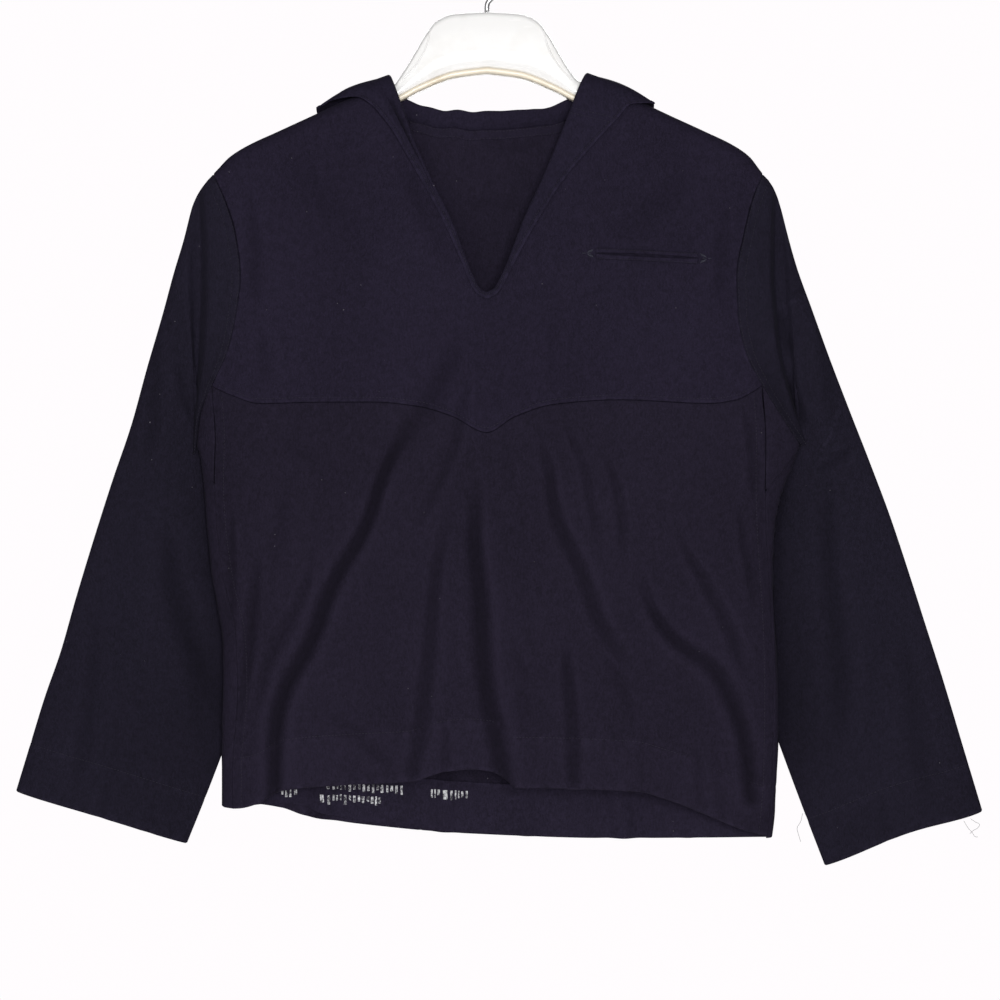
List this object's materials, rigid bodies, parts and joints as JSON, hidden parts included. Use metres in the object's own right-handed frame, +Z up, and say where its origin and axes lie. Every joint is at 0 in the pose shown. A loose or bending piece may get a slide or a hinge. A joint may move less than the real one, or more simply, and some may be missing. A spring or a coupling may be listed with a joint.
{
  "type": "sailor jumper on a hanger",
  "caption": "Dark navy wool sailor jumper with V neck, square sailor collar, pointed front yoke, welt pocket and plain hemmed sleeves, hung on a plastic hanger with a steel hook.",
  "frame": {"origin": "inner top of the steel hook, where a rail carries the hanger", "axes": "+X to the viewer's right across the jumper, +Y from the front towards the back, +Z up"},
  "size_m": [0.87, 0.0669, 0.8296],
  "materials": {
    "hanger_plastic": "white moulded plastic, smooth gloss",
    "hanger_rim_plastic": "cream moulded bead along the lower edge of the hanger",
    "hook_steel": "bright plated steel wire",
    "wool_yoke": "dark navy melton wool with a short fulled nap",
    "wool_body": "dark navy melton wool with a short fulled nap",
    "wool_sleeve": "dark navy melton wool with a short fulled nap",
    "wool_collar": "dark navy melton wool, topstitched at the edge",
    "wool_inside": "inside of the dark navy wool, flatter nap"
  },
  "bodies": {
    "root": {"hanger_body": "hanger_plastic", "hanger_rim": "hanger_rim_plastic", "hanger_hook": "hook_steel", "front_yoke": "wool_yoke", "front_panel": "wool_body", "back_panel": "wool_body", "gusset_left": "wool_body", "gusset_right": "wool_body", "sleeve_left": "wool_sleeve", "sleeve_right": "wool_sleeve", "sailor_collar": "wool_collar", "neck_tape": "wool_inside", "hem_facing": "wool_inside", "welt_upper": "wool_yoke", "welt_lower": "wool_yoke"}
  },
  "joints": []
}
